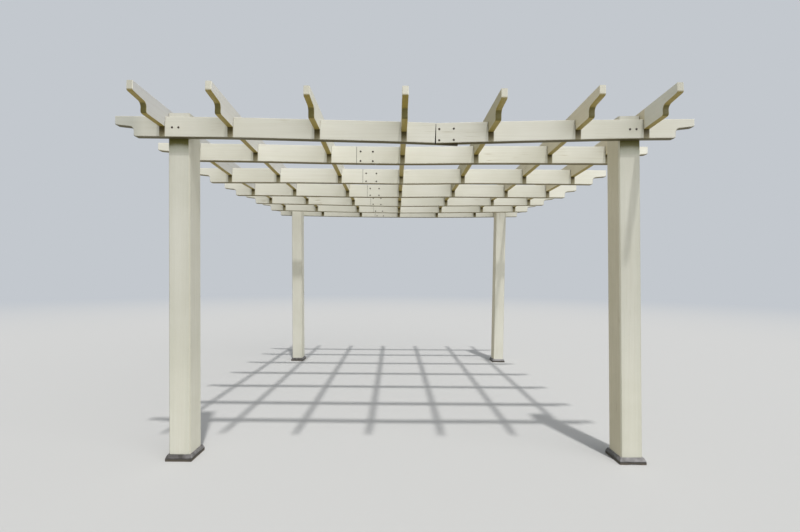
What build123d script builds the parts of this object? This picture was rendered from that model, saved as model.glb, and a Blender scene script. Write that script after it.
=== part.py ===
from build123d import *
import math
import os

# Garden pergola, an open frame. Millimetres, +Z up, +Y towards the rear, +X to the right.
# The origin is on the ground in the middle of the four posts.

# Sizes of the boards
board_thick = 38.0
board_high = 138.0
notch_share = 0.25
notch_play = 3.0
edge_ease = 2.0

# Plan of the roof grid, the same for beams and rafters
bay_inner = 587.0
bay_outer = 461.0
overhang = 319.0

# Levels
clear_height = 2205.0
post_size = 146.0
post_ease = 7.0
post_above_beam = 39.0

# Ogee tail, counted from the tip inwards and from the top edge down
tail_tip_high = 62.0
tail_throat_high = 71.0
tail_flat = 100.0
tail_cove = 30.0
tail_corner = 14.0
tip_corner = 12.0

# Half-lap joint near the middle of one inner bay, off the bay's middle by lap_shift towards the
# middle of the roof. The sunk front beam has opened its own downwards.
lap_length = 152.0
lap_shift = 4.0
lap_gap = 3.0
joint_open = 6.0

# How far the two pieces of the front beam have sunk at the rafters they reach, in millimetres.
# The last value of the long piece gives the slope of its tongue.
front_long_sag = [0.0, 3.0, 14.0, 26.0, 46.0]
front_short_sag = [40.0, 22.0, 7.0, 0.0]

# How far beams 2 to 7 have sunk at the seven rafters, from left to right
beam_sag = [[17.0, 21.0, 30.0, 34.0, 26.0, 23.0, 22.0],
            [43.0, 40.5, 42.5, 46.0, 39.0, 38.5, 40.5],
            [39.0, 40.5, 48.5, 48.0, 41.0, 43.0, 43.0],
            [14.0, 21.0, 31.0, 37.5, 29.0, 22.0, 15.0],
            [-3.0, 6.0, 15.0, 20.0, 14.0, 5.0, -4.0],
            [-8.0, 0.0, 7.0, 9.0, 7.0, 0.0, -8.0]]

# The front tail of each rafter: how far its tip stands above the line of its board, and how far it
# reaches beyond the overhang
tail_lift = [1.0, 8.0, -8.0, 16.0, -2.0, 3.0, 10.0]
tail_reach = [17.0, 9.0, 8.0, 8.0, 8.0, 5.0, 10.0]

# The right piece of the front beam has a longer tail and gets less high towards it
front_right_reach = 6.0
front_right_slim = 8.0

# How far each foot stands off to the right of its post top, because the posts lean
foot_off_front_left = 19.0
foot_off_front_right = 35.0
foot_off_rear_left = 27.0
foot_off_rear_right = -30.0

# Base trims
trim_high = 43.0
trim_out = 17.0
trim_band = 19.0
trim_groove = 3.0
trim_groove_deep = 4.0
trim_top_out = 7.0

# The front edge of the front right trim has warped up in its middle
lift_width = 95.0
lift_high = 7.0
lift_shift = 4.0

line_at = [-2 * bay_inner - bay_outer, -2 * bay_inner, -bay_inner, 0.0,
           bay_inner, 2 * bay_inner, 2 * bay_inner + bay_outer]
edge_line = line_at[6]
tip_at = edge_line + overhang
lap_low = bay_inner / 2 - lap_length / 2 - lap_shift
lap_high = bay_inner / 2 + lap_length / 2 - lap_shift
post_face = edge_line - board_thick / 2
post_top = clear_height + board_high + post_above_beam


def curve_level(places, levels, u):
    """Smooth level through the given places, straight on beyond the ends."""
    last = len(places) - 1

    def slope(k):
        if k == 0:
            return (levels[1] - levels[0]) / (places[1] - places[0])
        if k == last:
            return (levels[last] - levels[last - 1]) / (places[last] - places[last - 1])
        return (levels[k + 1] - levels[k - 1]) / (places[k + 1] - places[k - 1])

    if u <= places[0]:
        return levels[0] + slope(0) * (u - places[0])
    if u >= places[last]:
        return levels[last] + slope(last) * (u - places[last])
    k = 0
    while u > places[k + 1]:
        k += 1
    width = places[k + 1] - places[k]
    t = (u - places[k]) / width
    a = levels[k]
    b = levels[k + 1]
    p = slope(k) * width
    q = slope(k + 1) * width
    return (a * (2 * t ** 3 - 3 * t ** 2 + 1) + p * (t ** 3 - 2 * t ** 2 + t)
            + b * (3 * t ** 2 - 2 * t ** 3) + q * (t ** 3 - t ** 2))


def seat_drop(i, j):
    """Sunk amount where rafter i crosses beam j, both counted from 0."""
    if j == 0:
        if i <= 3:
            return front_long_sag[i]
        return front_short_sag[i - 3]
    return beam_sag[j - 1][i]


def beam_drop(j, piece):
    """Function of x that gives how far beam j has sunk."""
    if j == 0 and piece == "long":
        return lambda u: curve_level(line_at[0:5], front_long_sag, u)
    if j == 0:
        return lambda u: curve_level(line_at[3:7], front_short_sag, u)
    levels = [seat_drop(i, j) for i in range(7)]
    return lambda u: curve_level(line_at, levels, u)


def rafter_drop(i):
    """Function of y that gives how far rafter i has sunk."""
    levels = [seat_drop(i, j) for j in range(7)]
    return lambda u: curve_level(line_at, levels, u)


def board_piece(underside, inner_end, lift=0.0, reach=0.0, slim=0.0):
    """Board along local X with its tail at the left and a square end at inner_end.

    The underside level is a function of x. The board is centred on the local XZ plane.
    The tip of the tail stands above the board's line by lift and reaches further out by reach.
    The board gets less high towards its tail, by slim in the end, and keeps its top edge.
    """
    root = -edge_line
    root_level = underside(root)
    tilt = math.atan2(underside(root + 1.0) - root_level, 1.0) - math.atan2(lift, overhang)
    end_tilt = math.atan2(underside(inner_end) - underside(inner_end - 1.0), 1.0)

    def tail(u, w):
        """Point of the tail, which runs straight on beyond the outermost crossing."""
        along = u - root
        return (root + along * math.cos(tilt) - w * math.sin(tilt),
                root_level + along * math.sin(tilt) + w * math.cos(tilt))

    def top_at(u):
        return (u, underside(u) + board_high)

    def bottom_at(u):
        share = (inner_end - u) / (inner_end - root)
        return (u, underside(u) + slim * share ** 2)

    def corner(u, w, radius):
        """A quarter round of the tail's outer corners, in three flats about its centre."""
        turns = [math.radians(180 + 30 * k) for k in range(4)]
        return [tail(u + radius * math.cos(a), w + radius * math.sin(a)) for a in turns]

    tip = -tip_at - reach
    high = board_high
    low_tip = high - tail_tip_high + slim
    throat = high - tail_throat_high + slim
    flat_end = tip + tail_flat
    # the cove begins with the slope of the flat and ends upright
    slope = math.atan2(low_tip - throat, tail_flat - tip_corner)
    cove_u = flat_end - tail_cove * math.sin(slope)
    cove_w = throat - tail_cove * math.cos(slope)
    turn = (slope + math.pi / 2) / 2
    cove_middle = tail(cove_u + tail_cove * math.sin(turn), cove_w + tail_cove * math.cos(turn))
    cove_end = cove_u + tail_cove
    cut_end = cove_end + tail_corner
    stations = [u for u in line_at if root < u < inner_end - lap_length / 2]
    bottom = [bottom_at(u) for u in [root] + stations + [inner_end]]
    top = [top_at(u) for u in [inner_end] + stations[::-1]] + [tail(root, high)]
    bottom[0] = tail(root, slim)
    tail_way = (math.cos(tilt), math.sin(tilt))
    end_way = (math.cos(end_tilt), math.sin(end_tilt))

    with BuildPart() as piece:
        with BuildSketch(Plane.XZ):
            with BuildLine():
                # tip face with a small round at its lower corner
                Line(tail(tip, high), tail(tip, low_tip + tip_corner))
                Polyline(*corner(tip + tip_corner, low_tip + tip_corner, tip_corner))
                Line(tail(tip + tip_corner, low_tip), tail(flat_end, throat))
                ThreePointArc(tail(flat_end, throat), cove_middle, tail(cove_end, cove_w))
                Line(tail(cove_end, cove_w), tail(cove_end, slim + tail_corner))
                Polyline(*corner(cut_end, slim + tail_corner, tail_corner))
                Line(tail(cut_end, slim), tail(root, slim))
                Spline(*bottom, tangents=[tail_way, end_way])
                Line(bottom_at(inner_end), top_at(inner_end))
                Spline(*top, tangents=[(-end_way[0], -end_way[1]), (-tail_way[0], -tail_way[1])])
                Line(tail(root, high), tail(tip, high))
            make_face()
        extrude(amount=board_thick / 2, both=True)
        # the long edges are eased, the sawn inner end is not
        sides = piece.faces().sort_by(Axis.Y)
        rim = sides[0].edges() + sides[-1].edges()
        chamfer([e for e in rim if e.center().X < inner_end - edge_ease], edge_ease)
    return piece.part


def cut_lap(solid, side, start, end):
    """Take away one half of the thickness between start and end."""
    middle = (start + end) / 2
    tool = Box(abs(end - start), board_thick, 6 * board_high)
    return solid - Pos(middle, side * board_thick / 2, clear_height + board_high) * tool


def open_joint(solid, side, start, level):
    """Widen a joint line downwards from level, on one half of the thickness."""
    lean = math.degrees(math.atan2(joint_open, board_high))
    tool = Box(2 * joint_open, board_thick, 3 * board_high, align=(Align.MIN, Align.CENTER, Align.MAX))
    return solid - Pos(start, side * board_thick / 2, level) * Rot(0, lean, 0) * tool


def beam_piece(j, piece):
    """One of the two pieces of beam j, in place."""
    # the front beam has its long piece on the left, the others are turned round
    turned = j > 0
    long_piece = piece == "long"
    left_piece = long_piece != turned
    drop = beam_drop(j, piece)
    mirror = 1.0 if left_piece else -1.0
    inner_end = lap_high if long_piece else -lap_low - lap_gap
    front_right = j == 0 and not long_piece
    reach = front_right_reach if front_right else 0.0
    slim = front_right_slim if front_right else 0.0
    solid = board_piece(lambda u: clear_height - drop(mirror * u), inner_end, 0.0, reach, slim)
    if not left_piece:
        solid = turn_round(solid)
    # the tongue: long pieces of turned beams keep the front half, of the front beam the rear half
    lap_side = 1.0 if turned else -1.0
    direction = -1.0 if turned else 1.0
    if long_piece:
        solid = cut_lap(solid, lap_side, direction * lap_low, direction * (lap_high + 40))
        if not turned:
            solid = open_joint(solid, -1.0, lap_low, clear_height + board_high - drop(lap_low))
    else:
        solid = cut_lap(solid, -lap_side, direction * (lap_low - 40), direction * (lap_high + lap_gap))
    # top notches for the rafters
    box = solid.bounding_box()
    for i in range(7):
        if box.min.X - 60 < line_at[i] < box.max.X + 60:
            seat = clear_height + (1 - notch_share) * board_high - seat_drop(i, j)
            notch = Box(board_thick + 2 * notch_play, 3 * board_thick, board_high,
                        align=(Align.CENTER, Align.CENTER, Align.MIN))
            solid = solid - Pos(line_at[i], 0, seat) * notch
    return Pos(0, line_at[j], 0) * solid


def turn_round(solid):
    """Turn a piece end for end."""
    return Rot(0, 0, 180) * solid


def rafter_piece(i, piece):
    """One of the two pieces of rafter i, in place."""
    front_piece = piece == "front"
    drop = rafter_drop(i)
    way = 1.0 if front_piece else -1.0
    inner_end = lap_high if front_piece else -lap_low - lap_gap
    under = clear_height + board_high / 2
    lift = tail_lift[i] if front_piece else 0.0
    reach = tail_reach[i] if front_piece else 0.0
    solid = board_piece(lambda u: under - drop(way * u), inner_end, lift, reach)
    if not front_piece:
        solid = turn_round(solid)
    if front_piece:
        solid = cut_lap(solid, -1.0, lap_low, lap_high + 40)
    else:
        solid = cut_lap(solid, 1.0, lap_low - 40, lap_high + lap_gap)
    # bottom notches over the beams
    box = solid.bounding_box()
    for j in range(7):
        if box.min.X - 60 < line_at[j] < box.max.X + 60:
            seat = clear_height + (1 - notch_share) * board_high - seat_drop(i, j)
            notch = Box(board_thick + 2 * notch_play, 3 * board_thick, board_high,
                        align=(Align.CENTER, Align.CENTER, Align.MAX))
            solid = solid - Pos(line_at[j], 0, seat) * notch
    return Pos(line_at[i], 0, 0) * Rot(0, 0, 90) * solid


def post_solid(sx, sy, foot_off):
    """Post nested in the corner of the outer beam and the outer rafter, leaning by foot_off."""
    angle = -math.degrees(math.atan2(foot_off, post_top))
    # it bears on the rafter with its top edge, or on the rafter's lower edge if it leans the other way
    pivot_level = post_top
    if sx * foot_off > 0:
        sunk = rafter_drop(6 if sx > 0 else 0)(sy * (post_face - post_size))
        pivot_level = clear_height + board_high / 2 - sunk
    side = Align.MAX if sx > 0 else Align.MIN
    tall = Box(post_size, post_size, 2 * post_top, align=(side, Align.CENTER, Align.MAX))
    tall = chamfer(tall.edges().filter_by(Axis.Z), post_ease)
    leaning = Rot(0, angle, 0) * Pos(0, 0, post_top - pivot_level) * tall
    placed = Pos(sx * post_face, sy * (post_face - post_size / 2), pivot_level) * leaning
    above_ground = Box(4 * post_face, 4 * post_face, 2 * post_top,
                       align=(Align.CENTER, Align.CENTER, Align.MIN))
    return placed & above_ground


def trim_ring(post):
    """Skirt round the foot of a post: a band, a groove and a sloping top."""
    foot = (post & Box(4 * post_face, 4 * post_face, 2 * trim_high)).bounding_box().center()
    half = post_size / 2
    low = half + trim_out
    slope_high = trim_high - trim_band - trim_groove
    slope_angle = math.degrees(math.atan2(trim_out - trim_top_out, slope_high))
    with BuildPart() as ring:
        with BuildSketch(Plane.XY):
            Rectangle(2 * low, 2 * low)
        extrude(amount=trim_band)
        with BuildSketch(Plane.XY.offset(trim_band)):
            Rectangle(2 * (low - trim_groove_deep), 2 * (low - trim_groove_deep))
        extrude(amount=trim_groove)
        with BuildSketch(Plane.XY.offset(trim_band + trim_groove)):
            Rectangle(2 * low, 2 * low)
        extrude(amount=slope_high, taper=slope_angle)
    return Pos(foot.X, foot.Y, 0) * ring.part - post


def lifted_edge(ring):
    """Take the shallow arch out of a skirt's front edge, where it has warped off the ground."""
    box = ring.bounding_box()
    radius = lift_width ** 2 / (8 * lift_high) + lift_high / 2
    arch = Rot(90, 0, 0) * Cylinder(radius, trim_out)
    return ring - Pos(box.center().X + lift_shift, box.min.Y + trim_out / 2, lift_high - radius) * arch


def build_all():
    """All sub-parts by node name."""
    nodes = {}
    corners = [("front_left", -1, -1, foot_off_front_left), ("front_right", 1, -1, foot_off_front_right),
               ("rear_left", -1, 1, foot_off_rear_left), ("rear_right", 1, 1, foot_off_rear_right)]
    for name, sx, sy, foot_off in corners:
        post = post_solid(sx, sy, foot_off)
        nodes["post_" + name] = post
        nodes["base_trim_" + name] = trim_ring(post)
    nodes["base_trim_front_right"] = lifted_edge(nodes["base_trim_front_right"])
    for k in range(7):
        for piece in ("long", "short"):
            nodes["beam_%d_%s" % (k + 1, piece)] = beam_piece(k, piece)
        for piece in ("front", "rear"):
            nodes["rafter_%d_%s" % (k + 1, piece)] = rafter_piece(k, piece)
    return nodes


os.makedirs("parts", exist_ok=True)
for node, solid in build_all().items():
    export_step(solid, "parts/%s.step" % node)
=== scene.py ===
# %% [markdown]
# # A painted garden pergola
# An open roof of crossing boards stands on four square posts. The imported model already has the
# true shape of every board, post and base trim, so this lesson gives them their finish: old cream
# paint on wood, charcoal plastic trims, and the dark bolts that hold the boards together.
# The model is loaded first, and every bolt is placed by what was loaded.

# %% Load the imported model
import math
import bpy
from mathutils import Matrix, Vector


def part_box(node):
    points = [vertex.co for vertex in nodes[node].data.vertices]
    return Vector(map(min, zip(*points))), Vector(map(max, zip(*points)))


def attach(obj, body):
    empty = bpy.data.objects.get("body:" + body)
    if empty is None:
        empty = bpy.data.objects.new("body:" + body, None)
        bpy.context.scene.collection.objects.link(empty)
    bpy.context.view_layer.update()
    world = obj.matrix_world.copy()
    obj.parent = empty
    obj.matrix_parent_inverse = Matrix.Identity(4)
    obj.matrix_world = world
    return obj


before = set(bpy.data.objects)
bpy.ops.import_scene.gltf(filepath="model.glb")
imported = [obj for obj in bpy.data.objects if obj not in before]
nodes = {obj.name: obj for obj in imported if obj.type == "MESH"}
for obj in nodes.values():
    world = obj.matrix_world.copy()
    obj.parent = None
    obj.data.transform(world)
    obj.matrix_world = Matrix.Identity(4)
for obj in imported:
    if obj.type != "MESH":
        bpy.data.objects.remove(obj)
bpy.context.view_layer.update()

from types import SimpleNamespace

import bpy
from mathutils import Vector

# %% [markdown]
# ## Small helpers
# Paint charts and photographs give colours as sRGB hex numbers, while a shader works in linear
# light, so one function turns one into the other. Another adds a node to a tree together with its
# settings and its inputs, which keeps each material short enough to read from top to bottom. The
# inputs go through a third one, which links what is a socket and sets what is a plain value.


# %% Helpers for colour and nodes
def linear(hex_code):
    """sRGB hex such as D8D5C6 to the linear colour that a shader wants."""
    parts = [int(hex_code[k:k + 2], 16) / 255 for k in (0, 2, 4)]
    return (*[p / 12.92 if p <= 0.04045 else ((p + 0.055) / 1.055) ** 2.4 for p in parts], 1.0)


def feed(tree, node, inputs):
    """Link each socket to the input it is for, and set each plain value on its input."""
    for key, value in inputs.items():
        if isinstance(value, bpy.types.NodeSocket):
            tree.links.new(value, node.inputs[key])
        else:
            node.inputs[key].default_value = value


def add(tree, kind, inputs=None, **settings):
    """Add one node. Settings are its own properties, inputs are plain values or sockets to link."""
    node = tree.nodes.new(kind)
    for name, value in settings.items():
        setattr(node, name, value)
    feed(tree, node, inputs or {})
    return node


print("cream paint in linear light", [round(v, 3) for v in linear("D8D5C6")])

# %% [markdown]
# ## The words of a material
# A weathered finish is a recipe: a colour, a share that says where the next one goes, and so on.
# Five short functions make such recipes readable. They add nodes and return the last one's output:
# a step of arithmetic, a product, a ramp from one limit to another, noise with lumps of a given
# size, and a coat of one colour over another. A sixth one starts a material.


# %% Arithmetic, ramps, noise and coats
def calc(tree, operation, *values, **settings):
    """One step of arithmetic on values or sockets."""
    given = dict(enumerate(values))
    return add(tree, "ShaderNodeMath", given, operation=operation, **settings).outputs[0]


def product(tree, first, *others):
    """All the values multiplied. Of shares, that is high only where each of them is."""
    for other in others:
        first = calc(tree, "MULTIPLY", first, other)
    return first


def ramp(tree, value, start, end, low=0.0, high=1.0, **settings):
    """Low up to start, high from end on and a slope in between. Start may lie above end."""
    limits = {"Value": value, "From Min": start, "From Max": end, "To Min": low, "To Max": high}
    return add(tree, "ShaderNodeMapRange", limits, **settings).outputs[0]


def noise(tree, vector, size, detail, roughness=0.5):
    """Noise with lumps about size metres wide."""
    return add(tree, "ShaderNodeTexNoise", {
        "Vector": vector, "Scale": 1 / size, "Detail": detail,
        "Roughness": roughness}).outputs["Fac"]


def coat(tree, share, under, over, way="MIX"):
    """One colour over another. MIX covers what is under it, MULTIPLY tints it."""
    return add(tree, "ShaderNodeMix", {0: share, 6: under, 7: over},
               data_type="RGBA", blend_type=way).outputs[2]


def start_material(name):
    """A new material with its tree, its shader and the Object coordinates of its surface."""
    material = bpy.data.materials.new(name)
    material.use_nodes = True
    tree = material.node_tree
    place = add(tree, "ShaderNodeTexCoord").outputs["Object"]
    return material, tree, tree.nodes["Principled BSDF"], place


print("words ready:", ", ".join(f.__name__ for f in (calc, product, ramp, noise, coat)))

# %% [markdown]
# ## Where a point lies on its board
# Paint ages by rules, and some light and shade is painted in as well. Rain greys what looks up,
# damp and painted shade sit on what looks down, joints stay bare.
# Each rule asks where a point is on its board and which way the surface looks there. Object
# coordinates answer the first question, the true normal of the mesh the second. The boards of both
# directions stand on the same grid: an even bay apart, and the outer ones a shorter bay further.

# %% Read the place and the direction of a surface
along_x, along_y, along_z = 0, 1, 2    # how the grain runs in beams, rafters and posts
axis_through = (1, 0, 0)               # the axis through each of them, from side to side
inner_bay = 0.587                      # metres from board to board, counted from the middle one
outer_line = 1.635                     # metres from the middle to the outer boards
board_half = 0.019                     # half a board's thickness
same_board = 0.06                      # closer to a line than this is on its board
broadside = 0.95                       # a normal with this much sideways is on a broad side


def off_line(tree, coordinate):
    """How far a coordinate is from the middle of the nearest board that stands across it."""
    off_inner = calc(tree, "PINGPONG", coordinate, inner_bay / 2)
    off_outer = calc(tree, "SUBTRACT", calc(tree, "ABSOLUTE", coordinate), outer_line)
    return calc(tree, "MINIMUM", off_inner, calc(tree, "ABSOLUTE", off_outer))


def read_board(tree, place, grain):
    """What the coats ask about a point. Outer is 1 on the outer boards and 0 on the others."""
    surface = add(tree, "ShaderNodeNewGeometry").outputs["True Normal"]
    spot = add(tree, "ShaderNodeSeparateXYZ", {0: place}).outputs
    normal = add(tree, "ShaderNodeSeparateXYZ", {0: surface}).outputs
    board = SimpleNamespace(grain=grain, place=place, surface=surface, spot=spot, normal=normal)
    board.across = spot[axis_through[grain]]
    board.way_out = calc(tree, "ABSOLUTE", spot[grain])
    board.end_on = calc(tree, "ABSOLUTE", normal[grain])
    board.side_on = calc(tree, "ABSOLUTE", normal[axis_through[grain]])
    if grain != along_z:
        off_middle = calc(tree, "ABSOLUTE", board.across)
        board.outer = calc(tree, "COMPARE", off_middle, outer_line, same_board)
    return board


def grain_noise(tree, board, across, along, detail, roughness):
    """Noise with lumps that follow the grain. Across is their width, along their length."""
    scale = [1.0, 1.0, 1.0]
    scale[board.grain] = across / along
    squeezed = add(tree, "ShaderNodeMapping", {"Vector": board.place, "Scale": scale})
    return noise(tree, squeezed.outputs[0], across, detail, roughness)


print("grid lines", [round(k * inner_bay, 3) for k in range(-2, 3)], "and", outer_line)

# %% [markdown]
# ## Cream exterior acrylic, brushed on sawn softwood
# The boards are softwood under several coats of brushed, satin exterior acrylic. The paint hides
# the wood's colour but not its relief. Ridges run along the grain, 4 mm apart and about 240 mm
# long, brush marks follow them, 12 mm apart and 0.7 m long, and clouds half a metre wide show where
# the coats differ in thickness. A few hairline checks have opened.


# %% The paint itself
def brushed_paint(tree, board):
    """Clouds, brush marks and ridges in cream, and the checks."""
    board.ridges = grain_noise(tree, board, 0.004, 0.240, 3.0, 0.6)
    board.brush = grain_noise(tree, board, 0.012, 0.700, 2.0, 0.5)
    clouds = noise(tree, board.place, 0.5, 3.0, 0.55)
    paint = coat(tree, ramp(tree, clouds, 0.35, 0.65), linear("D9D8CF"), linear("D0CFC4"))
    marks = ramp(tree, board.brush, 0.4, 0.75, high=0.30)
    paint = coat(tree, marks, paint, linear("C8C5B8"))
    crests = ramp(tree, board.ridges, 0.45, 0.8, high=0.35)
    paint = coat(tree, crests, paint, linear("C3BFB0"))

    # a check is a thin level line of a long noise, kept only in scattered patches
    levels = grain_noise(tree, board, 0.014, 0.900, 1.0, 0.4)
    off_level = calc(tree, "ABSOLUTE", calc(tree, "SUBTRACT", levels, 0.52))
    line = ramp(tree, off_level, 0.004, 0.020, low=1.0, high=0.0)
    patch = ramp(tree, noise(tree, board.place, 0.22, 1.0), 0.64, 0.74)
    board.check = product(tree, line, patch)
    return coat(tree, board.check, paint, linear("B0A994"))


print("paint ready, with ridges, brush marks, clouds and checks")

# %% [markdown]
# ## Painted light and shade
# Factors on the paint's colour paint light and shade onto the wood. The inner roof boards are
# painted lighter toward the front, a painted light against the shade of the roof, and the outer
# boards darker. Posts are painted darker above hip height, the front right one the most and the
# rear ones hardly, which is painted shade. The side that looks along -X gets a brown painted shade.
# A few rafter sides get tints of their own, painted light or shade. Their tints are listed with the
# line each stands on. A factor above 1 paints that side lighter than its neighbours.

# %% Painted light and shade: greyed paint, brown side shade and single rafter sides
# painted light and shade on single rafter sides: a tint for one side of each listed rafter
rafter_sides_light_and_shade = (    # the line, the way that the side looks along X, the tint
    (-outer_line, 1, (0.95, 0.96, 1.06, 1.0)),
    (-2 * inner_bay, 1, linear("F7F7FF")),
    (inner_bay, -1, linear("D5D4C5")),
    (outer_line, -1, (1.16, 1.15, 1.13, 1.0)))
tail_start = 1.66           # metres from the middle, just past the outer boards
# painted shade on the posts begins at the first height and is full at the second
hip_height = (0.45, 1.10)   # where a post begins to grey and where it has, in metres
side_shade_on_posts = 0.75
# the front beam's left tail gets a painted shade here
front_tail_x, front_tail_y = (-1.76, -1.84), -1.6    # where the front beam's left tail greys


def light_and_shade_on_boards(tree, board):
    """A factor that paints a roof board lighter or darker, painted light and shade."""
    inner = ramp(tree, board.spot["Y"], -1.2, 1.2, low=1.15, high=0.95)
    outer = 0.91 if board.grain == along_x else 0.98
    return add(tree, "ShaderNodeMix", {0: board.outer, 2: inner, 3: outer},
               data_type="FLOAT").outputs[0]


def shade_on_posts(tree, board):
    """A factor that paints a post darker, a painted shade that grows to the front and the right."""
    where = add(tree, "ShaderNodeVectorMath", {0: board.place, 1: (0.012, -0.033, 0.0)},
                operation="DOT_PRODUCT").outputs["Value"]
    painted_shade = calc(tree, "ADD", where, 0.08)
    high_up = ramp(tree, board.spot["Z"], *hip_height)
    not_left = calc(tree, "GREATER_THAN", board.normal["X"], -0.5)
    return calc(tree, "SUBTRACT", 1.0, product(tree, high_up, painted_shade, not_left))


def weathered(tree, board, paint):
    """Paint light and shade as factors: boards, posts, -X sides and single rafter sides."""
    # painted shade: the side that looks along -X is tinted brown
    side_shade = ramp(tree, board.normal["X"], -0.5, -0.9)
    if board.grain == along_z:
        light_and_shade_factor = shade_on_posts(tree, board)
        side_shade = product(tree, side_shade, side_shade_on_posts)
    else:
        # the tails of the outer boards get none of the brown painted side shade
        light_and_shade_factor = light_and_shade_on_boards(tree, board)
        tail = product(tree, calc(tree, "GREATER_THAN", board.way_out, tail_start), board.outer)
        side_shade = product(tree, side_shade, calc(tree, "SUBTRACT", 1.0, tail))
    # painted light and shade: a factor that lightens or darkens each board and post
    paint = coat(tree, 1.0, paint, light_and_shade_factor, "MULTIPLY")
    paint = coat(tree, side_shade, paint, linear("F9F0DD"), "MULTIPLY")

    if board.grain == along_y:
        # paint light or shade onto the listed rafter sides
        for line, way, tint in rafter_sides_light_and_shade:
            on_board = calc(tree, "COMPARE", board.spot["X"], line, same_board)
            facing = calc(tree, "COMPARE", board.normal["X"], way, 0.5)
            paint = coat(tree, product(tree, on_board, facing), paint, tint, "MULTIPLY")
    if board.grain == along_x:
        # painted shade: the left tail of the front beam is painted darker
        far_left = ramp(tree, board.spot["X"], *front_tail_x)
        in_front = calc(tree, "LESS_THAN", board.spot["Y"], front_tail_y)
        paint = coat(tree, product(tree, far_left, in_front), paint, linear("E3E5E6"), "MULTIPLY")
    return paint


print("rafters with a tint of their own", len(rafter_sides_light_and_shade))

# %% [markdown]
# ## Grime above, mildew and painted shade below
# Grey grime lies on faces that look up. Faces that look down get a dark olive that is partly
# mildew and partly painted shade, both broken up by noise. The steep step under each tail stays
# as dark as the underside. Drops hang from the lower edges of the beams, so the dark olive creeps
# some 8 mm up their sides. A Bevel node finds that edge: it gives the normal that a rounded edge
# would have, and near a lower edge that one looks down.

# %% Grime, and mildew with painted shade
step_middle, step_half = 1.845, 0.05    # the step under a tail, metres from the roof's middle
edge_reach = 0.012                      # how far in the Bevel node rounds an edge, in metres


def soiled(tree, board, paint, mildew_and_shade, outer_mildew_and_shade):
    """Grime, and mildew with painted shade. Both colours are hex codes, the second for outer boards
    or None.
    """
    speckle = grain_noise(tree, board, 0.060, 3.500, 4.0, 0.7)
    board.patchy = ramp(tree, speckle, 0.35, 0.65, low=0.35, high=0.9)
    up = ramp(tree, board.normal["Z"], 0.5, 0.9)
    paint = coat(tree, product(tree, up, board.patchy), paint, linear("A9A693"))

    # painted shade: the steep step under each tail is painted darker still, as its hollow lies in
    # shade
    steep = ramp(tree, board.end_on, 0.45, 0.75)
    shaded_step = product(tree, steep, calc(tree, "COMPARE", board.way_out, step_middle, step_half))
    down = ramp(tree, board.normal["Z"], -0.05, -0.35)
    board.damp = calc(tree, "MAXIMUM", down, shaded_step)
    if board.grain == along_x:
        rounded = add(tree, "ShaderNodeBevel", {"Radius": edge_reach}, samples=8).outputs[0]
        rounded = add(tree, "ShaderNodeSeparateXYZ", {0: rounded}).outputs["Z"]
        creep = ramp(tree, rounded, -0.12, -0.32, high=0.85)
        board.damp = calc(tree, "MAXIMUM", board.damp, creep)
    # painted shade: the olive on downward faces is partly mildew and partly painted shade
    colour = linear(mildew_and_shade)
    if outer_mildew_and_shade:
        colour = coat(tree, board.outer, colour, linear(outer_mildew_and_shade))
    amount = ramp(tree, speckle, 0.35, 0.65, low=0.85, high=1.0)
    paint = coat(tree, product(tree, board.damp, amount), paint, colour)
    return coat(tree, shaded_step, paint, linear("625A28"))


print("lower edges are looked for within", edge_reach, "m")

# %% [markdown]
# ## Worn edges and sawn ends
# The ends of the tails show end grain, which drinks more water, so they are a little greyer; the
# darkening is partly painted shade on end faces that catch much light. The edges of the boards are
# eased by 2 mm. Such an edge faces half sideways, with a normal close to 0.707 across the board,
# and that picks it out. On the boards it is rubbed pale, but the damp and shaded edges below
# aren't.
# On the posts the edges are painted darker instead, a painted shade on edges that catch the lamps.

# %% Ends and edges
tip_start = 1.90         # metres from the middle, near the ends of the tails
half_sideways = 0.707


def worn(tree, board, paint):
    """Greyer sawn ends, partly painted shade. Paler edges on boards, edges in painted shade on
    posts.
    """
    # painted shade: the tail ends are painted a little darker, partly for their end grain
    tip = calc(tree, "GREATER_THAN", board.way_out, tip_start)
    paint = coat(tree, product(tree, tip, board.end_on), paint, linear("E0DFDB"), "MULTIPLY")
    off_half = calc(tree, "ABSOLUTE", calc(tree, "SUBTRACT", board.side_on, half_sideways))
    edge = ramp(tree, off_half, 0.12, 0.24, low=1.0, high=0.0)
    rubbed = product(tree, edge, board.patchy, calc(tree, "SUBTRACT", 1.0, board.damp))
    # on the posts the edge colour is darker than the paint, a painted shade on edges that catch the
    # lamps
    edge_colour = "B9B6A8" if board.grain == along_z else "E4E0CF"
    return coat(tree, rubbed, paint, linear(edge_colour))


print("edge wear ready")

# %% [markdown]
# ## Painted shade under cover
# Where a board lies close above, the paint is painted darker: on the beams below the rafters, and
# on the posts below the outer boards. This is painted shade, the shadow in the corner under the
# board, with some dirt in it. The Ambient Occlusion node tells how open a place is. Given a
# direction up and outwards, it looks for cover within 0.1 m, so its answer falls the closer a point
# lies below a board. Right under the board the painted shade is dark, and a paler painted shadow
# streak follows further down.

# %% Painted shade and dirt on beams and posts
cover_reach = 0.10     # how far the look for cover goes, in metres
crossed_until = 1.70   # beyond this no board crosses a beam, in metres from the middle
boards_from = 2.25     # the level where the boards begin, in metres
strip_margin = 0.002   # half the soft edge of the dirt's strip, in metres
# painted shade with some dirt: the palest share of the shadow streak, its colour and the dark
# colour
shade_and_dirt_shares = {        # the palest streak, its colour and the colour of the dirt
    along_x: (0.9, "7C724A", "42380E"),
    along_z: (0.35, "7A8568", "524F14")}


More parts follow.
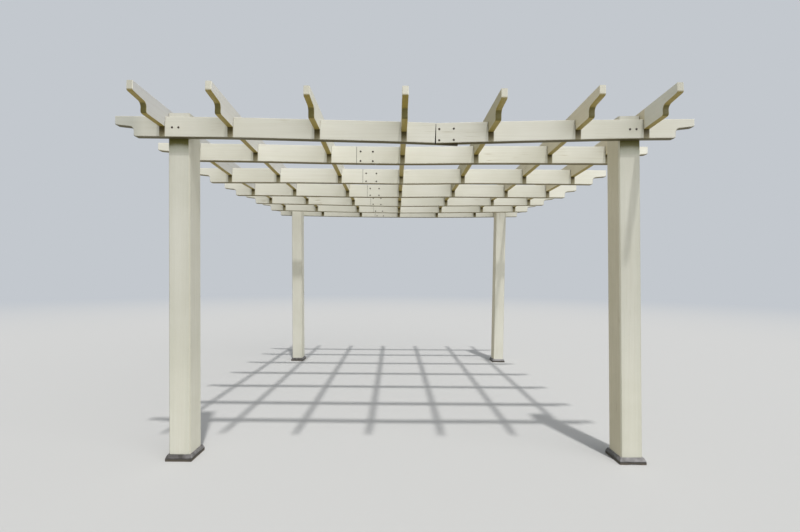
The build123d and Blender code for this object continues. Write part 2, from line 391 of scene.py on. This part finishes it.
def below_a_rafter(tree, board):
    """The strip of a beam's broad side under each rafter, as wide as the rafter is thick."""
    off_rafter = off_line(tree, board.spot[along_x])
    strip = ramp(tree, off_rafter, board_half + strip_margin, board_half - strip_margin)
    broad = calc(tree, "GREATER_THAN", board.side_on, broadside)
    crossed = calc(tree, "LESS_THAN", board.way_out, crossed_until)
    return product(tree, broad, strip, crossed)


def outer_side_of_post(tree, board):
    """The sides of a post that look away from the middle, up to where the boards begin."""
    outwards = add(tree, "ShaderNodeVectorMath", {0: board.surface, 1: board.place},
                   operation="DOT_PRODUCT").outputs["Value"]
    outside = calc(tree, "GREATER_THAN", outwards, 0.5)
    return product(tree, calc(tree, "LESS_THAN", board.spot["Z"], boards_from), outside)


def shade_and_dirt_under_cover(tree, board, paint):
    """Painted shade: a paler painted shadow streak, and the dark painted shade with dirt above it.
    """
    look = add(tree, "ShaderNodeVectorMath", {0: board.surface, 1: (0.0, 0.0, 0.9)},
               operation="ADD").outputs[0]
    openness = add(tree, "ShaderNodeAmbientOcclusion", {
        "Distance": cover_reach, "Normal": look}, samples=16).outputs["AO"]
    if board.grain == along_x:
        # the painted shade reaches further down on the outer beams
        where = below_a_rafter(tree, board)
        faint = ramp(tree, board.outer, 0.0, 1.0, low=0.76, high=0.86)
        full = ramp(tree, board.outer, 0.0, 1.0, low=0.46, high=0.68)
    else:
        where = outer_side_of_post(tree, board)
        faint, full = 0.78, 0.62
    palest, shadow_streak_hex, shade_and_dirt_hex = shade_and_dirt_shares[board.grain]
    # painted shadow: a paler streak below the board, and the darker painted shade right under it
    shadow_streak = ramp(tree, openness, 0.98, 0.86, high=palest)
    paint = coat(tree, product(tree, shadow_streak, where), paint, linear(shadow_streak_hex))
    contact_shade = ramp(tree, openness, faint, full)
    return coat(tree, product(tree, contact_shade, where), paint, linear(shade_and_dirt_hex))


print("cover is looked for within", cover_reach, "m")

# %% [markdown]
# ## Bare wood inside the joints
# The long and short pieces of a board meet in a half-lap. Its faces never saw a brush: the broad
# one halfway through the board, and the sawn ends 190 to 390 mm from the middle of the roof.

# %% The faces of the lap joints
lap_middle, lap_half = 0.290, 0.100    # where the laps are, metres from the roof's middle
off_halfway = 0.003                    # metres, a face this close to halfway is a hidden one


def bare_laps(tree, board, paint):
    """Dark wood on the hidden faces of a lap."""
    halfway = calc(tree, "LESS_THAN", off_line(tree, board.across), off_halfway)
    inside = product(tree, halfway, calc(tree, "GREATER_THAN", board.side_on, broadside))
    at_lap = calc(tree, "COMPARE", board.way_out, lap_middle, lap_half)
    sawn = product(tree, calc(tree, "GREATER_THAN", board.end_on, 0.9), at_lap)
    return coat(tree, calc(tree, "MAXIMUM", inside, sawn), paint, linear("2E251A"))


print("laps between", round(lap_middle - lap_half, 3), "and", round(lap_middle + lap_half, 3), "m")

# %% [markdown]
# ## The whole finish, once for each direction of the grain
# All the coats follow the direction of the board, so one function makes the same paint for beams
# along X, rafters along Y and posts along Z. Satin acrylic reflects a little more than water does,
# with an IOR of 1.48, and the ridges are given a relief of 0.3 mm by a Bump node.


# %% The painted wood
def painted_wood(name, grain, mildew_and_shade, outer_mildew_and_shade=None):
    """The finish for boards whose grain runs along one axis."""
    material, tree, shader, place = start_material(name)
    board = read_board(tree, place, grain)
    paint = brushed_paint(tree, board)
    paint = weathered(tree, board, paint)
    paint = soiled(tree, board, paint, mildew_and_shade, outer_mildew_and_shade)
    paint = worn(tree, board, paint)
    if grain != along_y:
        paint = shade_and_dirt_under_cover(tree, board, paint)
    if grain != along_z:
        paint = bare_laps(tree, board, paint)
    relief = calc(tree, "SUBTRACT", board.ridges, board.check)
    bump = add(tree, "ShaderNodeBump", {"Strength": 0.6, "Distance": 0.0003, "Height": relief})
    feed(tree, shader, {
        "Base Color": paint, "Normal": bump.outputs[0], "IOR": 1.48,
        "Roughness": ramp(tree, board.brush, 0.3, 0.7, low=0.46, high=0.60)})
    return material


# the last hex codes are the olive of mildew and painted shade on faces that look down
paint_x = painted_wood("cream_acrylic_on_boards_along_x", along_x, "5E511E", "463C0B")
paint_y = painted_wood("cream_acrylic_on_boards_along_y", along_y, "968334")
paint_z = painted_wood("cream_acrylic_on_posts", along_z, "7B692B")
for material in (paint_x, paint_y, paint_z):
    print(material.name, len(material.node_tree.nodes), "nodes")

# %% [markdown]
# ## Charcoal ABS for the base trims
# Each post foot is hidden by a collar of injection-moulded ABS, a hard plastic coloured through in
# charcoal, with a fine matt grain from its mould. Dust greys its sloping top. The grey is strongest
# on the right posts and on slopes that look to the right, and that part is painted light. Splashed
# earth browns the lowest centimetre. Object coordinates and the normal are enough to place both.

# %% The moulded plastic of the base trims
trim_plastic, tree, shader, place = start_material("charcoal_moulded_abs")
spot = add(tree, "ShaderNodeSeparateXYZ", {0: place}).outputs
looks = add(tree, "ShaderNodeNewGeometry").outputs["True Normal"]
looks = add(tree, "ShaderNodeSeparateXYZ", {0: looks}).outputs
mould_grain = noise(tree, place, 0.0012, 2.0)
clouds = noise(tree, place, 0.035, 4.0)
plastic = coat(tree, clouds, linear("383532"), linear("484543"))

# painted light: the grey is stronger on the right posts and on slopes that look to the right
to_the_right = calc(tree, "ADD", calc(tree, "MULTIPLY", spot["X"], 0.15),
                    calc(tree, "MULTIPLY", looks["X"], 0.35))
patchy = ramp(tree, clouds, 0.35, 0.65, low=0.1, high=0.6)
dust_and_painted_light = calc(tree, "ADD", to_the_right, patchy, use_clamp=True)
dust_and_painted_light = product(tree, ramp(tree, looks["Z"], 0.05, 0.5), dust_and_painted_light)
plastic = coat(tree, dust_and_painted_light, plastic, linear("999799"))
splash = product(tree, ramp(tree, spot["Z"], 0.002, 0.016, low=0.75, high=0.0), clouds)
plastic = coat(tree, splash, plastic, linear("6A5C49"))
bump = add(tree, "ShaderNodeBump", {"Strength": 0.4, "Distance": 0.0002, "Height": mould_grain})
feed(tree, shader, {
    "Base Color": plastic, "Normal": bump.outputs[0], "Roughness": 0.52, "IOR": 1.53})
print("trim material", trim_plastic.name)

# %% [markdown]
# ## Put the finishes on the model's own parts
# The shapes of the model stay as they are, and only the material slots change. A name tells which
# way a part runs: beams along X, rafters along Y, posts along Z.

# %% Give every part its finish
finish_of = {"beam": paint_x, "rafter": paint_y, "post": paint_z, "base": trim_plastic}
for name, part in nodes.items():
    part.data.materials.clear()
    part.data.materials.append(finish_of[name.split("_")[0]])
counts = {key: sum(n.startswith(key) for n in nodes) for key in finish_of}
print("finished parts", counts)

# %% [markdown]
# ## Zinc-plated bolts, gone dark
# Round-headed carriage bolts of galvanised steel clamp each half-lap joint, four to a joint, and
# screws of the same kind hold the outer boards to the posts. After years outside the zinc is dull
# brown-black with rust freckles about 5 mm wide. It is still a metal, so Metallic stays high and
# Roughness carries the corrosion.

# %% The weathered zinc of the bolts
zinc, tree, shader, place = start_material("weathered_zinc_plated_steel")
blotch = noise(tree, place, 0.005, 3.0)
feed(tree, shader, {
    "Base Color": coat(tree, ramp(tree, blotch, 0.5, 0.62), linear("4D4A45"), linear("5A4230")),
    "Roughness": ramp(tree, blotch, 0.4, 0.62, low=0.45, high=0.85), "Metallic": 0.75})
print("bolt material", zinc.name)

# %% [markdown]
# ## Where the bolts go
# The lap joints sit where the long and short pieces of a board overlap, so the overlap of their two
# boxes gives the joint's ends. The roof has sunk, and a bolt has to follow its own board, so a ray
# shot up at the board finds the level of its underside there. Each place gets a point and the
# direction in which its head looks.


# %% Helpers that find the wood above a point
def underside(part, x, y):
    """Level of the first face of a part that a ray from the ground meets."""
    hit, spot, _, _ = part.ray_cast(Vector((x, y, 0.0)), Vector((0, 0, 1)))
    return spot.z if hit else None


def first_underside(parts, x, y):
    """The same for the first of some parts that stands over the point."""
    levels = (underside(part, x, y) for part in parts)
    return next(level for level in levels if level is not None)


column_from_end = (0.021, 0.119)       # metres from the end of a lap to its bolts
row_above_underside = (0.021, 0.097)   # metres from the underside to its bolts
ray_inset = 0.006                      # the rays go up this far inside a broad side
print("bolts in a lap", len(column_from_end) * len(row_above_underside))

# %% [markdown]
# The heads of the beams' bolts look to the front and their nuts to the rear. On the rafters the
# heads look to the right.

# %% Find the bolts of the lap joints
heads, nuts = [], []
for number in range(1, 8):
    long_low, long_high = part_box(f"beam_{number}_long")
    short_low, short_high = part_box(f"beam_{number}_short")
    low, high = max(long_low.x, short_low.x), min(long_high.x, short_high.x)
    middle = (long_low.y + long_high.y) / 2
    pieces = [nodes[f"beam_{number}_{piece}"] for piece in ("long", "short")]
    for column in column_from_end:
        x = low + column if number == 1 else high - column
        for row in row_above_underside:
            for toward, store in ((-1, heads), (1, nuts)):
                y = middle + toward * board_half
                level = first_underside(pieces, x, y - toward * ray_inset)
                store.append(((x, y, level + row), (0, toward, 0)))
print("beam joints", len(heads), "heads", len(nuts), "nuts")

for number in range(1, 8):
    front_low, front_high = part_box(f"rafter_{number}_front")
    rear_low, rear_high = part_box(f"rafter_{number}_rear")
    low, high = max(front_low.y, rear_low.y), min(front_high.y, rear_high.y)
    middle = (front_low.x + front_high.x) / 2
    pieces = [nodes[f"rafter_{number}_{piece}"] for piece in ("front", "rear")]
    for column in column_from_end:
        y = low + column
        for row in row_above_underside:
            for toward, store in ((1, heads), (-1, nuts)):
                x = middle + toward * board_half
                level = first_underside(pieces, x - toward * ray_inset, y)
                store.append(((x, y, level + row), (toward, 0, 0)))
print("with rafter joints", len(heads), "heads", len(nuts), "nuts")

# %% [markdown]
# The outer boards are also screwed to the posts, two heads side by side at each end, at about half
# their height. They are lag screws, so there is no nut behind them.

# %% Find the screws into the posts
post_columns = (1.524, 1.567)    # metres from the middle of the roof
screw_row = 0.065                # metres above the underside
for number, toward in ((1, -1), (7, 1)):
    for name in (f"beam_{number}_long", f"beam_{number}_short"):
        low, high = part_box(name)
        y = (low.y + high.y) / 2 + toward * board_half
        for side in (-1, 1):
            for x in post_columns:
                if low.x < side * x < high.x:
                    level = underside(nodes[name], side * x, y - toward * ray_inset)
                    heads.append(((side * x, y, level + screw_row), (0, toward, 0)))
for number, toward in ((1, -1), (7, 1)):
    for name in (f"rafter_{number}_front", f"rafter_{number}_rear"):
        low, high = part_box(name)
        x = (low.x + high.x) / 2 + toward * board_half
        for side in (-1, 1):
            for y in post_columns:
                if low.y < side * y < high.y:
                    level = underside(nodes[name], x - toward * ray_inset, side * y)
                    heads.append(((x, side * y, level + screw_row), (toward, 0, 0)))
print("all heads", len(heads))

# %% [markdown]
# ## Draw the heads and nuts with Geometry Nodes
# A domed head is a short cylinder whose top rings are lifted into a low dome; a nut is a six-sided
# cylinder on a round washer, with the bolt's end through it. Each is drawn once and set on every
# point, turned to look outwards, a little askew and turned at random about its own axis, as real
# ones are. The same bolt at more than a hundred places is just what instances are for.

# %% A tree that sets one fastener on every point
askew = 0.03       # the most that a head tilts, in radians
full_turn = 6.28   # radians, all the way round


def fastener_tree(name, sizes, draw):
    """Sizes are the tree's named inputs in metres. Draw adds the fastener, returns its socket."""
    tree = bpy.data.node_groups.new(name, "GeometryNodeTree")
    tree.interface.new_socket("Geometry", in_out="INPUT", socket_type="NodeSocketGeometry")
    for label, value in sizes.items():
        socket = tree.interface.new_socket(label, in_out="INPUT", socket_type="NodeSocketFloat")
        socket.default_value = value
    tree.interface.new_socket("Seed", in_out="INPUT", socket_type="NodeSocketInt")
    tree.interface.new_socket("Material", in_out="INPUT", socket_type="NodeSocketMaterial")
    tree.interface.new_socket("Geometry", in_out="OUTPUT", socket_type="NodeSocketGeometry")
    given = add(tree, "NodeGroupInput")
    shape = draw(tree, given)
    out = add(tree, "GeometryNodeInputNamedAttribute", {"Name": "out"}, data_type="FLOAT_VECTOR")
    facing = add(tree, "FunctionNodeAlignRotationToVector", {"Vector": out.outputs["Attribute"]},
                 axis="Z")
    turn = add(tree, "FunctionNodeRandomValue", {
        "Min": (-askew, -askew, 0.0), "Max": (askew, askew, full_turn),
        "Seed": given.outputs["Seed"]}, data_type="FLOAT_VECTOR")
    turned = add(tree, "FunctionNodeRotateRotation", {
        "Rotation": facing.outputs[0], "Rotate By": turn.outputs["Value"]}, rotation_space="LOCAL")
    placed = add(tree, "GeometryNodeInstanceOnPoints", {
        "Points": given.outputs["Geometry"], "Instance": shape, "Rotation": turned.outputs[0]})
    real = add(tree, "GeometryNodeRealizeInstances", {"Geometry": placed.outputs[0]})
    dressed = add(tree, "GeometryNodeSetMaterial", {
        "Geometry": real.outputs[0], "Material": given.outputs["Material"]})
    add(tree, "NodeGroupOutput", {"Geometry": dressed.outputs[0]})
    return tree


print("a tree has inputs for the points, the sizes, the seed and the material")

# %% [markdown]
# The points become a mesh with one vector at each, which says where its head looks. The tree is run
# by a modifier, its result is kept as a plain mesh, and the modifier goes.


# %% Run a tree and keep a plain mesh
def fasteners(name, tree, spots, sizes, seed):
    """A plain mesh of the tree's fastener on every spot, with the modifier gone."""
    points = bpy.data.meshes.new(name + "_points")
    points.from_pydata([spot for spot, _ in spots], [], [])
    out = points.attributes.new("out", "FLOAT_VECTOR", "POINT")
    out.data.foreach_set("vector", [c for _, way in spots for c in way])
    holder = bpy.data.objects.new(name, points)
    bpy.context.scene.collection.objects.link(holder)
    modifier = holder.modifiers.new("fasteners", "NODES")
    modifier.node_group = tree
    values = {**sizes, "Seed": seed, "Material": zinc}
    for item in tree.interface.items_tree:
        if item.in_out == "INPUT" and item.name in values:
            modifier[item.identifier] = values[item.name]
    made = holder.evaluated_get(bpy.context.evaluated_depsgraph_get())
    mesh = bpy.data.meshes.new_from_object(made)
    holder.modifiers.clear()
    holder.data = mesh
    mesh.name = name
    return holder


def triangles(piece):
    """How many triangles the faces of a piece make."""
    return sum(len(face.vertices) - 2 for face in piece.data.polygons)


print("helpers for fasteners ready")

# %% [markdown]
# The round head: the cylinder's cap has rings, and each ring rises by the height of the dome times
# one less the square of its share of the radius, which is a parabola much like a real head.

# %% The domed heads
head_sizes = {"Head radius": 0.0075, "Rim": 0.0012, "Dome": 0.0030}


def draw_head(tree, given):
    """A cylinder with a domed top."""
    disc = add(tree, "GeometryNodeMeshCylinder", {
        "Vertices": 20, "Fill Segments": 4, "Radius": given.outputs["Head radius"],
        "Depth": given.outputs["Rim"]}, fill_type="TRIANGLE_FAN")
    place = add(tree, "GeometryNodeInputPosition").outputs[0]
    spot = add(tree, "ShaderNodeSeparateXYZ", {0: place}).outputs
    flat = add(tree, "ShaderNodeCombineXYZ", {"X": spot["X"], "Y": spot["Y"]}).outputs[0]
    reach = add(tree, "ShaderNodeVectorMath", {0: flat}, operation="LENGTH").outputs["Value"]
    share = calc(tree, "DIVIDE", reach, given.outputs["Head radius"])
    rise = calc(tree, "SUBTRACT", 1.0, calc(tree, "POWER", share, 2.0))
    on_top = calc(tree, "GREATER_THAN", spot["Z"], 0.0)
    rise = product(tree, rise, on_top, given.outputs["Dome"])
    lift = add(tree, "ShaderNodeCombineXYZ", {"Z": rise}).outputs[0]
    domed = add(tree, "GeometryNodeSetPosition", {
        "Geometry": disc.outputs["Mesh"], "Offset": lift})
    smooth = add(tree, "GeometryNodeSetShadeSmooth", {
        "Geometry": domed.outputs[0], "Selection": disc.outputs["Top"]})
    return smooth.outputs[0]


head_tree = fastener_tree("domed_head_on_points", head_sizes, draw_head)
bolt_heads = fasteners("bolt_heads", head_tree, heads, head_sizes, seed=3)
print("bolt heads", len(heads), "triangles", triangles(bolt_heads))

# %% [markdown]
# The nut side: a thin washer against the wood, a six-sided nut on it and the round end of the bolt.

# %% The nuts and washers
nut_sizes = {"Washer radius": 0.0105, "Washer": 0.0016, "Nut radius": 0.0068, "Nut": 0.0055,
             "Bolt radius": 0.0032, "Bolt end": 0.0095}
nut_stack = (    # how many sides, and the names of the radius and the height
    (24, "Washer radius", "Washer"), (6, "Nut radius", "Nut"), (12, "Bolt radius", "Bolt end"))


def draw_nut(tree, given):
    """Three cylinders that all stand on the wood."""
    stack = add(tree, "GeometryNodeJoinGeometry")
    for sides, wide, high in nut_stack:
        ring = add(tree, "GeometryNodeMeshCylinder", {
            "Vertices": sides, "Radius": given.outputs[wide], "Depth": given.outputs[high]})
        half = calc(tree, "DIVIDE", given.outputs[high], 2.0)
        lift = add(tree, "ShaderNodeCombineXYZ", {"Z": half}).outputs[0]
        raised = add(tree, "GeometryNodeTransform", {
            "Geometry": ring.outputs["Mesh"], "Translation": lift})
        tree.links.new(raised.outputs[0], stack.inputs[0])
    return stack.outputs[0]


nut_tree = fastener_tree("nut_on_points", nut_sizes, draw_nut)
bolt_nuts = fasteners("bolt_nuts", nut_tree, nuts, nut_sizes, seed=5)
print("nuts", len(nuts), "triangles", triangles(bolt_nuts))

# %% [markdown]
# The pergola is one rigid body called root, so both sets of fasteners are tied to that.

# %% Tie the fasteners to the pergola
for piece in (bolt_heads, bolt_nuts):
    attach(piece, "root")
print("fasteners ride on root")

# %% [markdown]
# ## Floor and background
# A studio for an object four metres wide: a pale matt floor that fades into the background far out.
# The fade reads the floor's own coordinates, so it looks the same from every side. Only what the
# camera sees fades, and the light that the floor throws back is slightly warm.

# %% The floor and the background
backdrop_hex = "C3C8CE"
floor_radius = 60.0              # metres
fade_from, fade_to = 7.0, 24.0   # metres from the middle
rim_points = 64
rim = [(floor_radius * math.cos(k * math.tau / rim_points),
        floor_radius * math.sin(k * math.tau / rim_points), 0) for k in range(rim_points)]
floor_mesh = bpy.data.meshes.new("floor")
floor_mesh.from_pydata(rim, [], [list(range(rim_points))])
floor = bpy.data.objects.new("floor", floor_mesh)
bpy.context.scene.collection.objects.link(floor)

floor_finish, tree, shader, place = start_material("pale_matt_floor")
seen = add(tree, "ShaderNodeLightPath").outputs["Is Camera Ray"]
feed(tree, shader, {
    "Base Color": coat(tree, seen, linear("B5B3A6"), linear("B9B9B8")), "Roughness": 0.9})
out_far = add(tree, "ShaderNodeVectorMath", {0: place}, operation="LENGTH").outputs["Value"]
fade = ramp(tree, out_far, fade_from, fade_to, interpolation_type="SMOOTHSTEP")
glow = add(tree, "ShaderNodeEmission", {"Color": linear(backdrop_hex), "Strength": 1.0})
blend = add(tree, "ShaderNodeMixShader", {
    0: product(tree, fade, seen), 1: shader.outputs[0], 2: glow.outputs[0]})
feed(tree, tree.nodes["Material Output"], {"Surface": blend.outputs[0]})
floor_mesh.materials.append(floor_finish)
print("floor", floor_radius, "m round")

# %% [markdown]
# ## Light
# An even world light fills everything. What looks straight at the world, or at its reflection,
# sees the plain backdrop instead. Two lamps of the sun kind add direction. Their rays run side by
# side, so all the shadows fall the same way. The key lamp is small and stands high up, a little to
# the right of the front, where the shadows on the posts say it must be. The fill lamp is so wide
# that it casts no edge.

# %% The world and the lamps
world = bpy.data.worlds.new("studio")
bpy.context.scene.world = world
world.use_nodes = True
tree = world.node_tree
tree.nodes.clear()
ray = add(tree, "ShaderNodeLightPath").outputs
soft = add(tree, "ShaderNodeBackground", {"Color": linear("E3E8EE"), "Strength": 0.52})
shown = add(tree, "ShaderNodeBackground", {"Color": linear(backdrop_hex), "Strength": 1.0})
direct = calc(tree, "MAXIMUM", ray["Is Camera Ray"], ray["Is Glossy Ray"])
direct = calc(tree, "MAXIMUM", direct, ray["Is Transmission Ray"])
either = add(tree, "ShaderNodeMixShader", {0: direct, 1: soft.outputs[0], 2: shown.outputs[0]})
add(tree, "ShaderNodeOutputWorld", {"Surface": either.outputs[0]})

lamps = (    # the width, the turn to the right of the front and the height are in degrees
    {"name": "key", "width": 2, "energy": 2.4, "turn": 18.5, "height": 70.7},
    {"name": "fill", "width": 70, "energy": 1.40, "turn": 38, "height": 28})
for given in lamps:
    lamp_data = bpy.data.lights.new(given["name"], "SUN")
    lamp_data.angle = math.radians(given["width"])
    lamp_data.energy = given["energy"]
    lamp_data.color = (1.0, 0.985, 0.96)
    lamp = bpy.data.objects.new(given["name"], lamp_data)
    turn, height = math.radians(given["turn"]), math.radians(given["height"])
    toward = Vector((math.sin(turn), -math.cos(turn), math.tan(height)))
    lamp.rotation_euler = toward.to_track_quat("Z", "Y").to_euler()
    bpy.context.scene.collection.objects.link(lamp)
    print(given["name"], "lamp", given["energy"], "W a square metre")

# %% [markdown]
# ## Camera
# The camera stands in front of the pergola, 1.27 m above the ground, with a wide lens. Its place,
# turn and shift were worked out from the posts and boards, so that the lines of the picture fall
# where they should.

# %% The camera
camera_data = bpy.data.cameras.new("camera")
camera_data.sensor_width = 36.0
camera_data.lens = 16.8705
camera_data.shift_x = 0.0072
camera_data.shift_y = 0.0147
camera_data.clip_end = 200.0
camera = bpy.data.objects.new("camera", camera_data)
camera.location = (-0.0566, -4.1846, 1.2659)
camera.rotation_euler = [math.radians(v) for v in (89.948, -0.380, 0.0723)]
bpy.context.scene.collection.objects.link(camera)
bpy.context.scene.camera = camera
bpy.context.scene.view_settings.view_transform = "Standard"
print("lens", camera_data.lens, "mm")
